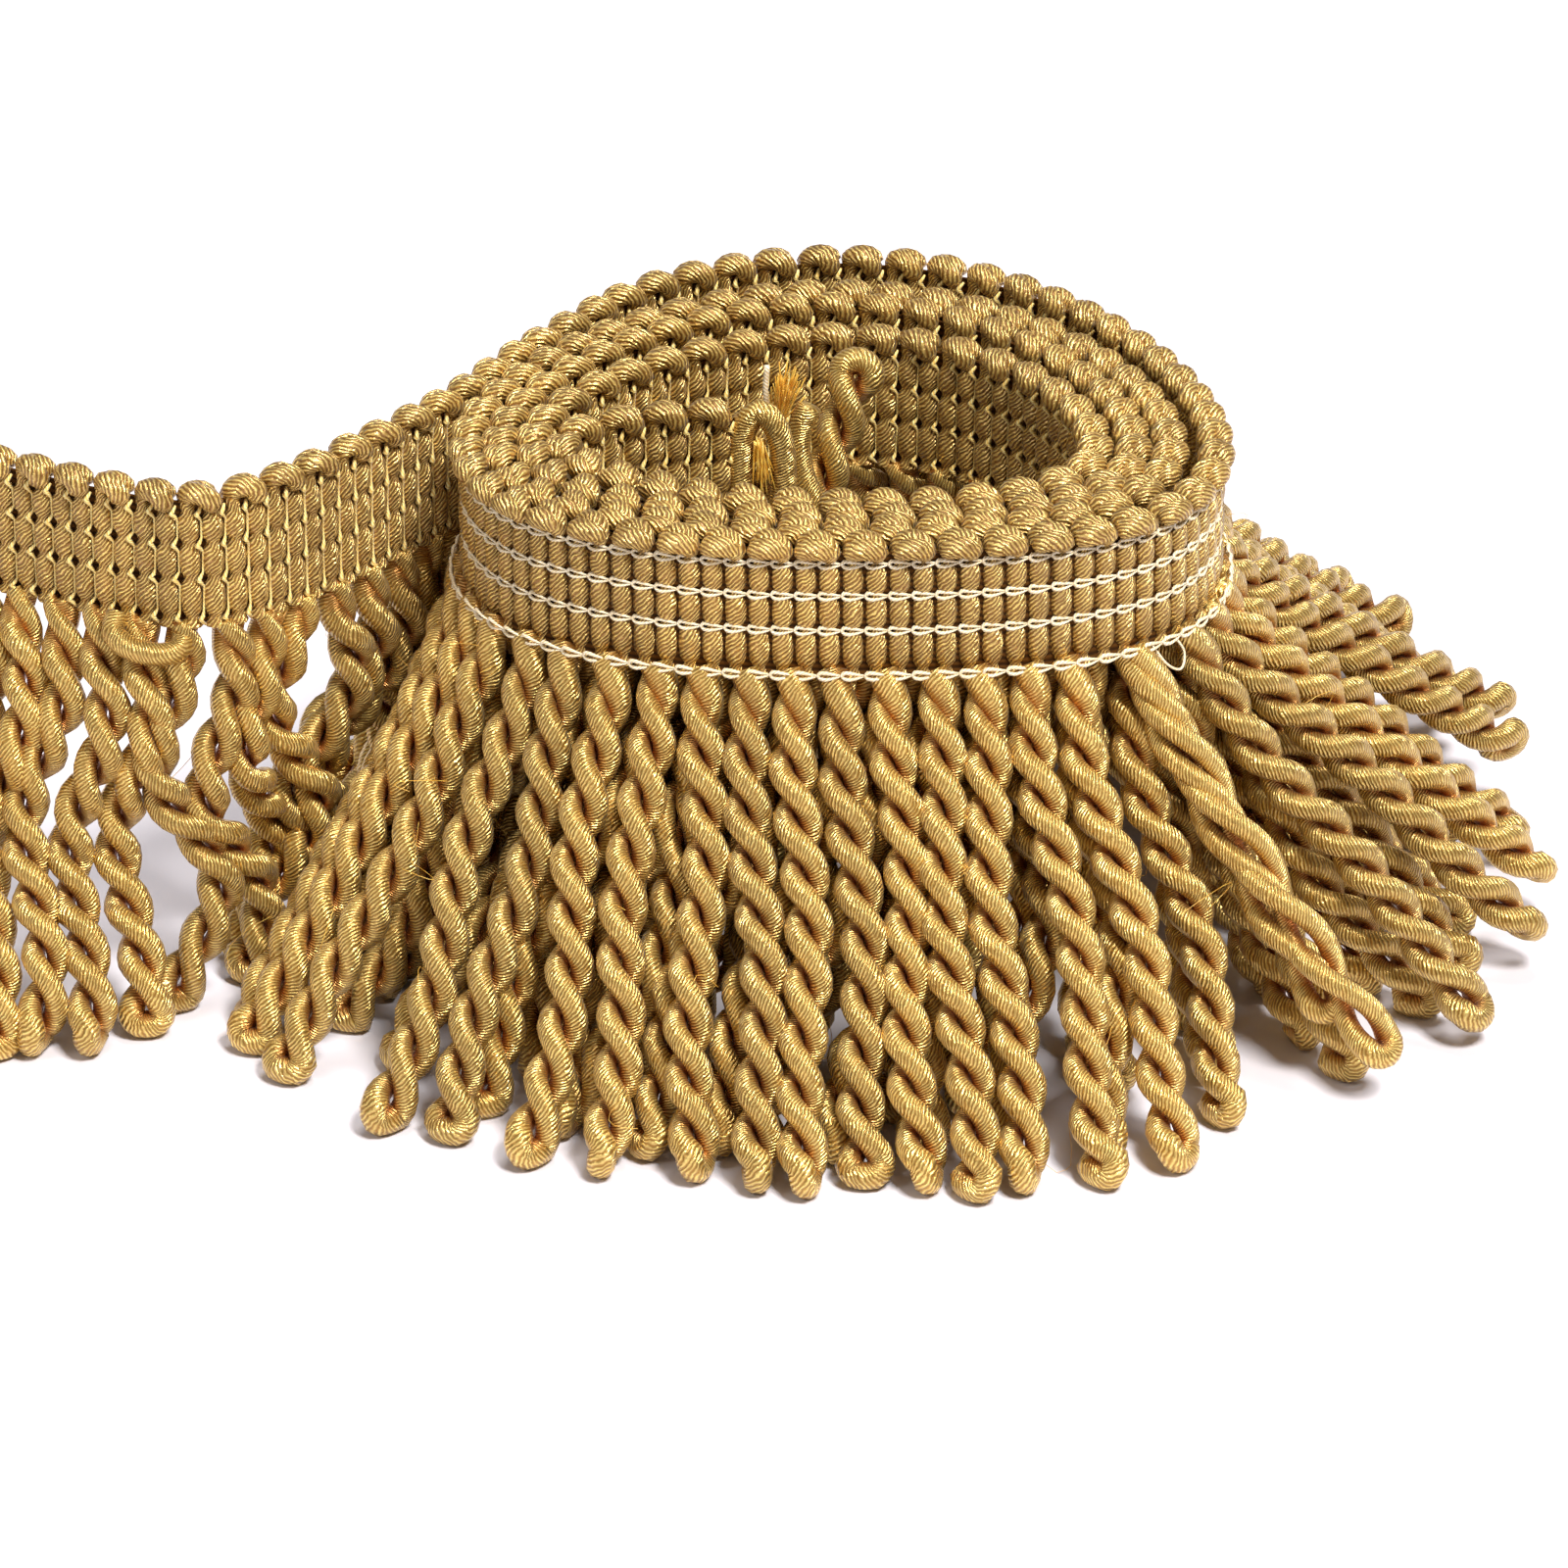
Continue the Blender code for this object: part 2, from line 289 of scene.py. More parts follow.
def flare_at(angle):
    """Reach and swing of the skirt at a turn angle: full on the outer turn, less on each turn inside it."""
    side = (angle - 90.0) % 360.0 + 90.0
    outer = angle >= OUTER_TURN_ANGLE
    share = INNER_SHARE + (1.0 - INNER_SHARE) * (angle - START_ANGLE) / (OUTER_TURN_ANGLE - START_ANGLE)
    inner_reach = share * flare_column(side, INNER_FLARES, "reach")
    reach = np.where(outer, flare_column(side, OUTER_FLARES, "reach"), inner_reach)
    return reach, np.where(outer, flare_column(side, OUTER_FLARES, "swing"), 0.0)


def control_rows():
    """Rows of x, y, reach, swing and turn angle, along the whole tape."""
    angles = np.arange(START_ANGLE, LEAVE_ANGLE, ANGLE_STEP)
    quarters = 90.0 * np.arange(1, 1 + 4 * len(TURNS))
    sizes = np.array([size for turn in TURNS for size in turn])
    across = half_size(angles, quarters[1::2], sizes[1::2])
    along = half_size(angles, quarters[0::2], sizes[0::2])
    reach, swing = flare_at(angles)
    turns = np.radians(angles)
    wound = np.column_stack((across * np.cos(turns), along * np.sin(turns), reach, swing, angles))
    tail_angles = LEAVE_ANGLE + ANGLE_STEP * np.arange(len(TAIL))
    return np.vstack((wound, np.column_stack((np.array(TAIL), tail_angles))))


def smooth_rows(rows):
    """Catmull-Rom curve through the rows, as many closely spaced rows."""
    padded = np.vstack((2.0 * rows[0] - rows[1], rows, 2.0 * rows[-1] - rows[-2]))
    before, start, end, after = padded[:-3], padded[1:-2], padded[2:-1], padded[3:]
    spans = []
    for t in np.arange(STEPS_PER_SPAN) / STEPS_PER_SPAN:
        curve = 2.0 * start + (end - before) * t
        curve += (2.0 * before - 5.0 * start + 4.0 * end - after) * t**2
        curve += (3.0 * start - before - 3.0 * end + after) * t**3
        spans.append(curve / 2.0)
    fine = np.stack(spans, axis=1).reshape(-1, rows.shape[1])
    return np.vstack((fine, rows[-1]))


class PlanLine:
    """The tape's plan line, read by the length of tape from its inner end."""

    def __init__(self, cord_pitch):
        rows = smooth_rows(control_rows())
        self.x = ROLL_X + rows[:, 0] * MM
        self.y = ROLL_Y + rows[:, 1] * MM
        self.reach = rows[:, 2] * MM
        self.swing = np.radians(rows[:, 3])
        self.angle = rows[:, 4]
        steps = np.hypot(np.diff(self.x), np.diff(self.y))
        self.lengths = np.concatenate(([0.0], np.cumsum(steps)))
        self.heading = np.unwrap(np.arctan2(np.gradient(self.y), np.gradient(self.x)))
        self.length = self.lengths[-1]
        self.cords = round(self.length / cord_pitch)
        self.pitch = self.length / self.cords

    def read(self, station, column):
        return np.interp(station, self.lengths, column)

    def read_back(self, angle):
        """The length of tape at a turn angle."""
        return np.interp(angle, self.angle, self.lengths)

    def along(self, station):
        turn = self.read(station, self.heading)
        return np.stack((np.cos(turn), np.sin(turn), np.zeros_like(turn)), axis=-1)

    def outward(self, station):
        turn = self.read(station, self.heading)
        return np.stack((np.sin(turn), -np.cos(turn), np.zeros_like(turn)), axis=-1)

    def place(self, station, height, out):
        """Points at lengths of tape, heights and distances out from the tape's middle."""
        station, height, out = np.broadcast_arrays(station, height, out)
        x, y = self.read(station, self.x), self.read(station, self.y)
        return np.stack((x, y, height), axis=-1) + self.outward(station) * out[..., None]


# ---------------------------------------------------------------- strands


def unit(vectors):
    return vectors / np.linalg.norm(vectors, axis=-1, keepdims=True)


def closed_ends(strand):
    """The strand with a point of no radius just past each end, which closes it."""
    def ends(rows):
        return np.concatenate((rows[:1], rows, rows[-1:]))

    points, radii = ends(strand.points), ends(strand.radii)
    points[0] -= unit(points[2] - points[1]) * END_STEP
    points[-1] += unit(points[-2] - points[-3]) * END_STEP
    radii[[0, -1]] = 0.0
    return Strand(points, radii, ends(strand.axis), ends(strand.aim), strand.tone)


def strand_curve(strands, resolution):
    """One curve with a round bevel, holding a spline for each strand."""
    curve = bpy.data.curves.new("strands", "CURVE")
    curve.dimensions = "3D"
    curve.bevel_depth = 1.0
    curve.bevel_resolution = resolution
    for strand in strands:
        spline = curve.splines.new("POLY")
        spline.points.add(len(strand.points) - 1)
        spline.points.foreach_set("co", np.column_stack((strand.points, np.ones(len(strand.points)))).ravel())
        spline.points.foreach_set("radius", strand.radii)
    return curve


def mesh_of(curve):
    """The curve's swept surface as a mesh, and the curve removed."""
    obj = bpy.data.objects.new("strands", curve)
    bpy.context.collection.objects.link(obj)
    graph = bpy.context.evaluated_depsgraph_get()
    mesh = bpy.data.meshes.new_from_object(obj.evaluated_get(graph), depsgraph=graph)
    bpy.data.objects.remove(obj)
    bpy.data.curves.remove(curve)
    return mesh


def write_strand_maps(mesh, strands, sides):
    """Gives the mesh its UV map, in millimetres along and turns around, with each strand's tone and depth."""
    rings = np.concatenate([np.arange(len(s.points)) for s in strands])
    if len(mesh.vertices) != len(rings) * sides:
        raise RuntimeError("the swept strands don't have a ring of vertices at each point")
    points = np.empty(len(mesh.vertices) * 3)
    mesh.vertices.foreach_get("co", points)
    points = points.reshape(-1, sides, 3)
    axis = np.concatenate([s.axis for s in strands])[:, None]
    aim = np.concatenate([s.aim for s in strands])[:, None]
    # depth runs from 0 at a ply's outside to 1 towards the cord's axis; it lays on the painted groove shade and bounce
    # light.
    offset = points - axis
    offset -= (offset * aim).sum(-1, keepdims=True) * aim
    distance = np.linalg.norm(offset, axis=-1)
    reach = np.concatenate([s.radii for s in strands])[:, None] * 2.0
    depth = np.clip(1.0 - distance / np.maximum(reach, 1e-5), 0.0, 1.0)
    tone = np.concatenate([np.full(len(s.points), s.tone) for s in strands])
    for name, values in (("depth", depth.ravel()), ("tone", np.repeat(tone, sides))):
        mesh.attributes.new(name, "FLOAT", "POINT").data.foreach_set("value", values.astype(np.float32))
    lengths = [np.concatenate(([0.0], np.cumsum(np.linalg.norm(np.diff(s.points, axis=0), axis=1)))) for s in strands]
    corner_vertex = np.empty(len(mesh.loops), dtype=np.int32)
    mesh.loops.foreach_get("vertex_index", corner_vertex)
    along = np.concatenate(lengths)[corner_vertex // sides] / MM
    side = (corner_vertex % sides).reshape(-1, 4)
    wraps = (side.max(1) - side.min(1) > 1)[:, None]
    side = np.where(wraps & (side == 0), sides, side).ravel()
    layer = mesh.uv_layers.get("UVMap") or mesh.uv_layers.new(name="UVMap")
    layer.data.foreach_set("uv", np.column_stack((along, side / sides)).ravel().astype(np.float32))


def close_seams(mesh):
    """Merges each strand's end ring into one point and points its faces outwards."""
    bm = bmesh.new()
    bm.from_mesh(mesh)
    bmesh.ops.remove_doubles(bm, verts=bm.verts, dist=1e-7)
    bmesh.ops.dissolve_degenerate(bm, edges=bm.edges, dist=1e-7)
    bmesh.ops.recalc_face_normals(bm, faces=bm.faces)
    bm.to_mesh(mesh)
    bm.free()
    mesh.shade_smooth()


def add_piece(name, mesh, finish, nodes):
    """A finished piece of the trim, which rides on the part and stands for the solids named."""
    obj = bpy.data.objects.new(name, mesh)
    mesh.name = name
    mesh.materials.clear()
    mesh.materials.append(finish)
    bpy.context.collection.objects.link(obj)
    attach(obj, "root")
    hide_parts(*nodes)
    return obj


def sweep(name, strands, resolution, finish, nodes):
    """Sweeps round strands along their routes into one piece. A resolution of 0 gives 4 sides, and each step 2 more."""
    strands = [closed_ends(strand) for strand in strands]
    mesh = mesh_of(strand_curve(strands, resolution))
    write_strand_maps(mesh, strands, 4 + 2 * resolution)
    close_seams(mesh)
    return add_piece(name, mesh, finish, nodes)


def plain_strand(points, radii, tone=0.5):
    """A strand that isn't one ply of a cord."""
    points = np.asarray(points, dtype=float)
    far = points + np.array((0.0, 0.0, 1.0))
    return Strand(points, np.broadcast_to(radii, len(points)).astype(float), far, np.zeros_like(points), tone)


def smooth_route(points, count):
    """A smooth curve through a few given points, as evenly spaced points."""
    rows = smooth_rows(np.asarray(points, dtype=float))
    lengths = np.concatenate(([0.0], np.cumsum(np.linalg.norm(np.diff(rows, axis=0), axis=1))))
    wanted = np.linspace(0.0, lengths[-1], count)
    return np.column_stack([np.interp(wanted, lengths, rows[:, i]) for i in range(rows.shape[1])])


# ---------------------------------------------------------------- cords


def frames_along(axis, first_side):
    """Direction and two square sides at each point of an axis, turned as little as possible."""
    aim = unit(np.gradient(axis, axis=0))
    side = np.empty_like(axis)
    last = first_side
    for i, direction in enumerate(aim):
        last = last - direction * (last @ direction)
        last = last / np.linalg.norm(last)
        side[i] = last
    return aim, side, np.cross(aim, side)


def cord_shape(cord):
    return CordShape(cord.ply_radius, cord.twist_radius, cord.loop_radius, cord.lay)


def cord_route(axis, first_side, shape, step, tone, twist_turn=2.3):
    """A two-ply cord as one strand: down one ply, round the end loop and up the other.

    The ply that comes out in front under the heading is the broader one there. twist_turn is where the twist
    starts, in radians from the side given.
    """
    lengths = np.concatenate(([0.0], np.cumsum(np.linalg.norm(np.diff(axis, axis=0), axis=1))))
    total = lengths[-1] - shape.loop_radius
    down = np.linspace(0.0, total, max(8, int(total / step)))
    middle = np.column_stack([np.interp(down, lengths, axis[:, i]) for i in range(3)])
    aim, side, cross = frames_along(middle, first_side)
    phase = twist_turn - 2.0 * math.pi * down / shape.lay
    near_end = np.clip((down - total + 4.0 * MM) / (4.0 * MM), 0.0, 1.0) ** 2
    near_root = np.exp(-((down / (5.5 * MM)) ** 2))
    spread = shape.twist_radius * (1.0 - 0.5 * near_root) + (shape.loop_radius - shape.twist_radius) * near_end
    ray = np.cos(phase)[:, None] * side + np.sin(phase)[:, None] * cross
    swell = shape.ply_radius * (1.0 + 0.16 * near_end)
    front, behind = swell * (1.0 + 0.32 * near_root), swell * (1.0 - 0.2 * near_root)
    bend = np.linspace(0.0, math.pi, 9)[1:-1, None]
    loop = middle[-1] + shape.loop_radius * (np.cos(bend) * ray[-1] + np.sin(bend) * aim[-1])
    points = np.vstack((middle + spread[:, None] * ray, loop, (middle - spread[:, None] * ray)[::-1]))
    radii = np.concatenate((front, np.full(len(loop), swell[-1]), behind[::-1]))
    points[:, 2] = np.maximum(points[:, 2], radii)
    return Strand(
        points,
        radii,
        np.vstack((middle, np.repeat(middle[-1:], len(loop), axis=0), middle[::-1])),
        np.vstack((aim, np.zeros((len(loop), 3)), aim[::-1])),
        tone,
    )


def cord_axis(line, station, shape, pose):
    """The middle line of a cord from inside the heading to the floor, or to the cords that it lies on."""
    t = np.linspace(0.0, 1.0, AXIS_POINTS)
    top = HEADING_FOOT + 0.6 * MM
    foot = shape.ply_radius + pose.lift
    outward, along = line.outward(station), line.along(station)
    swing = line.read(station, line.swing) + pose.swing
    aim = outward * math.cos(swing) + np.cross((0.0, 0.0, 1.0), outward) * math.sin(swing)
    reach = line.read(station, line.reach) + pose.reach
    root = line.place(station, top, 0.0)
    drift = pose.wave * np.sin(math.pi * 2.6 * t + pose.wave_turn) * t * (1.25 - t)
    axis = root + np.outer(t**FLARE_CURVE * reach, aim) + np.outer(t * pose.lean + drift, along)
    axis += np.outer(0.7 * drift * np.cos(2.0 * pose.wave_turn), outward)
    axis[:, 2] = top + (foot - top) * t
    return axis


def inner_lean(line, station, cord):
    """How far a cord of an inner turn leans along the tape, so that it has its length under the roll."""
    reach = line.read(station, line.reach)
    spare = (TAKEN_UP * cord.length) ** 2 - HEADING_FOOT**2 - reach**2
    return -min(math.sqrt(max(spare, 0.0)), cord.longest_lean)


def cord_pose(line, station, cord, leaning, wave, rng):
    """How one cord hangs: its turn's way, with a small chance part.

    leaning is its share of the lean that it has room for, and less than 0 leans towards the tape's outer end.
    """
    jitter = rng.uniform(-1.0, 1.0, 7)
    side = (line.read(station, line.angle) - 90.0) % 360.0 + 90.0
    on_outer_turn = OUTER_TURN_ANGLE <= line.read(station, line.angle) < LEAVE_ANGLE
    lift = MM * np.interp(side, [row.side for row in LIFTS], [row.height for row in LIFTS])
    lift = lift * (0.75 + 0.35 * jitter[5]) if on_outer_turn else 0.0
    lean = leaning * inner_lean(line, station, cord) * (0.88 + 0.12 * jitter[2])
    lean += (1.0 - abs(leaning)) * 1.1 * MM * jitter[2]
    return Pose(reach=1.8 * MM * jitter[0] + 0.3 * lift, swing=math.radians(2.6) * jitter[1], lean=lean, lift=lift,
                wave=wave, wave_turn=math.pi * jitter[3], twist_turn=2.3 + 0.9 * jitter[4])


def turn_cords(line, cord, group, rng, passed_over):
    """The cords of one group, whose lean runs evenly from the first one's to the last one's."""
    strands, shape = [], cord_shape(cord)
    ends = line.read_back(np.array((group.low, group.high)))
    for k in range(line.cords):
        station = (k + 0.5) * line.pitch
        share = np.interp(station, ends, (group.first_lean, group.last_lean))
        pose, tone = cord_pose(line, station, cord, share, group.wave * MM, rng), rng.uniform()
        if group.low <= line.read(station, line.angle) < group.high and k not in passed_over:
            axis = cord_axis(line, station, shape, pose)
            strands.append(cord_route(axis, line.along(station), shape, group.step * MM, tone, pose.twist_turn))
    return strands


def cord_nearest(line, angle):
    """The number of the cord whose root is nearest a turn angle."""
    stations = (np.arange(line.cords) + 0.5) * line.pitch
    return int(np.abs(line.read(stations, line.angle) - angle).argmin())


def thick_cord(line, k):
    """Two neighbouring cords laid up as one thick four-ply cord, each with its own end loop."""
    station = (k + 1.0) * line.pitch
    shape = CordShape(1.3 * MM, 1.75 * MM, 1.7 * MM, 23.0 * MM)
    strands = []
    for i, (reach, twist_turn) in enumerate(((0.0, 2.0), (-5.0 * MM, 2.0 + math.pi / 2.0))):
        pose = Pose(reach=reach, swing=math.radians(14.0), lean=0.0, lift=5.0 * MM, wave=0.0, wave_turn=0.0,
                    twist_turn=twist_turn)
        axis = cord_axis(line, station, shape, pose)
        strands.append(cord_route(axis[: AXIS_POINTS - 3 * i], line.along(station), shape, 0.9 * MM, 0.8, twist_turn))
    return strands


# ---------------------------------------------------------------- heading


def rib_heights(top):
    """Heights along a rib, close together where a row of stitching draws it in."""
    rows = HEADING_TOP - MM * np.array(STITCH_DEPTHS)
    ends = np.concatenate((rows, [HEADING_FOOT]))
    near = (rows[:, None] + MM * np.array((-0.9, -0.42, 0.0, 0.42, 0.9))).ravel()
    heights = np.sort(np.concatenate((near, (ends[1:] + ends[:-1]) / 2.0, [HEADING_FOOT + 0.1 * MM, top])))
    return heights[(heights > HEADING_FOOT) & (heights <= top)]


def rib_radius(height, heading):
    """A rib's radius at a height: full between the rows of stitching, drawn in at each."""
    rows = HEADING_TOP - MM * np.array(STITCH_DEPTHS)
    drawn = np.exp(-(((height[:, None] - rows) / (0.7 * MM)) ** 2)).sum(1)
    return heading.rib_radius - heading.pinch * drawn


def rib_and_loop(line, station, heading, tone, lean):
    """Two neighbouring ribs joined by the edge loop over them, as one strand. station is the loop's middle.

    The loop goes over from the inner face to the outer one, so that it shows a hook inside and a pad outside.
    """
    half = line.pitch / 4.0
    spring = HEADING_TOP - heading.loop_ply_radius - 1.15 * MM
    rise = rib_heights(spring - 1.2 * MM)
    bend = np.linspace(math.pi, 0.0, 9)
    middle = station + (lean + 0.15 * MM) * np.sin(bend)
    stations = np.concatenate((np.full(len(rise), station - half), middle + half * np.cos(bend),
                               np.full(len(rise), station + half)))
    heights = np.concatenate((rise, spring + 1.15 * MM * np.sin(bend), rise[::-1]))
    over = 0.85 * MM * np.cos(bend + 0.5)
    out = np.concatenate((np.zeros(len(rise)), over, np.zeros(len(rise))))
    thick = np.concatenate((np.zeros(len(rise)), np.sin(bend) ** 0.5 * 0.5 + 0.5, np.zeros(len(rise))))
    radii = rib_radius(heights, heading)
    radii = radii + (heading.loop_ply_radius - radii) * np.nan_to_num(thick, nan=0.5)
    return plain_strand(line.place(stations, heights, out), radii, tone)


def edge_pad(line, station, heading, tone, lean):
    """The part of an edge loop that lies along the outer face, over the tops of its two ribs."""
    forward = np.array((-1.95, -1.5, -0.8, 0.0, 0.8, 1.5, 1.95)) * MM + lean
    drop = np.array((0.8, 0.35, 0.08, 0.0, 0.08, 0.35, 0.8)) * MM
    heights = HEADING_TOP - 1.75 * MM - drop
    out = np.array((0.75, 0.95, 1.05, 1.1, 1.05, 0.95, 0.75)) * MM
    radii = heading.loop_ply_radius * np.array((0.6, 0.86, 0.98, 1.0, 0.98, 0.86, 0.6))
    return plain_strand(line.place(station + forward, heights, out), radii, tone)


def end_rib(line, station, heading, tone):
    heights = rib_heights(HEADING_TOP - 2.4 * MM)
    return plain_strand(line.place(station, heights, 0.0), rib_radius(heights, heading), tone)


def chain_link(line, station, height, heading):
    """One link of the chain stitch on the outer face: a round end at the gap, two threads over the next rib."""
    step = line.pitch / 2.0
    forward = np.array((1.0, 0.66, 0.36, 0.14, 0.0, 0.14, 0.36, 0.66, 1.0)) * step
    rise = np.array((-0.04, -0.27, -0.43, -0.38, 0.0, 0.38, 0.43, 0.27, 0.04)) * MM
    over_rib = np.sin(math.pi * forward / step) ** 2
    lowest = height < HEADING_FOOT + 2.0 * MM
    out = heading.rib_radius - heading.pinch + (0.12 * over_rib - 0.12 * (1.0 - over_rib) + 1.5 * lowest) * MM
    radii = heading.thread_radius * (1.3 - 0.75 * np.clip(forward / step - 0.3, 0.0, 0.7) / 0.7)
    return plain_strand(line.place(station + forward, height + rise, out), radii)


def wale_thread(line, station, heading, rng):
    """The bright thread that runs down beside a rib on the inner face, with a knot at each row of stitching."""
    rows = HEADING_TOP - MM * np.array(STITCH_DEPTHS)
    near = MM * np.array((0.9, 0.38, 0.0, -0.38, -0.9))
    heights = (rows[:, None] + near).ravel()
    forward = np.tile(MM * np.array((-0.1, 0.15, 0.42, 0.12, -0.12)), len(rows))
    forward = forward + rng.normal(0.0, 0.05 * MM, len(heights))
    deep = heading.rib_radius - heading.pinch + MM * np.tile((-0.28, 0.02, 0.16, 0.0, -0.28), len(rows))
    radii = heading.thread_radius * np.tile((0.8, 1.35, 1.8, 1.15, 0.8), len(rows))
    return plain_strand(line.place(station + forward, heights, -deep), radii, rng.uniform())


# ---------------------------------------------------------------- loose strands


def tuft(root, aim, length, spread, count, radius, rng):
    """A brush of cut filaments from one point."""
    root, strands = np.array(root) * MM, []
    for _ in range(count):
        lean = rng.normal(0.0, spread, 3)
        bow = rng.normal(0.0, 0.25 * spread, 3)
        way = length * rng.uniform(0.75, 1.0) * MM
        t = np.linspace(0.0, 1.0, 5)[:, None]
        start = root + rng.normal(0.0, 0.35 * MM, 3)
        points = start + way * (t * (np.array(aim) + lean) + t * (1.0 - t) * bow)
        strands.append(plain_strand(points, radius * np.linspace(1.0, 0.6, 5), rng.uniform()))
    return strands


def hand_laid(points, radius, count=28, tone=0.6, tapers=False):
    """A loose ply through points in millimetres."""
    route = smooth_route(np.array(points) * MM, count)
    radii = np.full(count, radius)
    if tapers:
        radii[-6:] *= np.linspace(1.0, 0.55, 6)
    return plain_strand(route, radii, tone)


def stray_fibres(line, count, rng):
    """Single filaments that have come out of the cords."""
    strands = []
    for _ in range(count):
        station = rng.uniform(0.05, 1.0) * line.length
        height = rng.uniform(3.0, 44.0) * MM
        depth = 1.0 - height / HEADING_FOOT
        out = line.read(station, line.reach) * depth**FLARE_CURVE + rng.uniform(1.5, 3.6) * MM
        start = line.place(station, height, out)
        sweep_to = rng.normal(0.0, 3.2 * MM, 3)
        bow = rng.normal(0.0, 2.2 * MM, 3)
        t = np.linspace(0.0, 1.0, 7)[:, None]
        points = start + t * sweep_to + 4.0 * t * (1.0 - t) * bow
        points[:, 2] = np.maximum(points[:, 2], 0.3 * MM)
        strands.append(plain_strand(points, 0.035 * MM, rng.uniform()))
    return strands


# ---------------------------------------------------------------- materials


def linear(hex_colour):
    """An sRGB hex colour as linear RGBA."""
    values = [int(hex_colour[i:i + 2], 16) / 255.0 for i in (1, 3, 5)]
    return [v / 12.92 if v <= 0.04045 else ((v + 0.055) / 1.055) ** 2.4 for v in values] + [1.0]


def add_node(tree, kind, links=(), **settings):
    """Adds a node. settings are its properties, or its inputs by name with spaces as underscores; links feed inputs."""
    node = tree.nodes.new(kind)
    for name, value in settings.items():
        if hasattr(node, name):
            setattr(node, name, value)
        else:
            node.inputs[name.replace("_", " ")].default_value = value
    for name, source in dict(links).items():
        tree.links.new(source, node.inputs[name])
    return node


def new_material(name, **sockets):
    made = bpy.data.materials.new(name)
    made.use_nodes = True
    shader = made.node_tree.nodes["Principled BSDF"]
    for socket, value in sockets.items():
        shader.inputs[socket.replace("_", " ")].default_value = value
    return made, made.node_tree, shader


def filaments(tree, around, per_mm, wander):
    """Height of the filaments laid round a strand: a wave that climbs as it goes round, broken up by noise."""
    uv = add_node(tree, "ShaderNodeUVMap", uv_map="UVMap")
    tone = add_node(tree, "ShaderNodeAttribute", attribute_name="tone")
    split = add_node(tree, "ShaderNodeSeparateXYZ", {"Vector": uv.outputs["UV"]})
    place = add_node(tree, "ShaderNodeTexCoord")
    drift = add_node(tree, "ShaderNodeTexNoise", {"Vector": place.outputs["Object"]}, Scale=520.0, Detail=4.0)
    turn = add_node(tree, "ShaderNodeMath", {0: split.outputs["Y"]}, operation="MULTIPLY")
    turn.inputs[1].default_value = around
    climb = add_node(tree, "ShaderNodeMath", {0: split.outputs["X"], 2: turn.outputs[0]}, operation="MULTIPLY_ADD")
    climb.inputs[1].default_value = per_mm
    bent = add_node(tree, "ShaderNodeMath", {0: drift.outputs["Fac"], 2: climb.outputs[0]}, operation="MULTIPLY_ADD")
    bent.inputs[1].default_value = wander
    phase = add_node(tree, "ShaderNodeMath", {0: bent.outputs[0]}, operation="MULTIPLY")
    phase.inputs[1].default_value = 2.0 * math.pi
    wave = add_node(tree, "ShaderNodeMath", {0: phase.outputs[0]}, operation="SINE")
    height = add_node(tree, "ShaderNodeMath", {0: wave.outputs[0]}, operation="MULTIPLY_ADD")
    height.inputs[1].default_value = 0.5
    height.inputs[2].default_value = 0.5
    clump = add_node(tree, "ShaderNodeTexNoise", {"Vector": place.outputs["Object"]}, Scale=900.0, Detail=2.0)
    strength = add_node(tree, "ShaderNodeMapRange", {"Value": clump.outputs["Fac"]}, From_Min=0.3, From_Max=0.7,
                        To_Min=0.45, To_Max=1.25)
    full = add_node(tree, "ShaderNodeMath", {0: height.outputs[0], 1: strength.outputs["Result"]},
                    operation="MULTIPLY")
    return full.outputs[0], tone.outputs["Fac"]


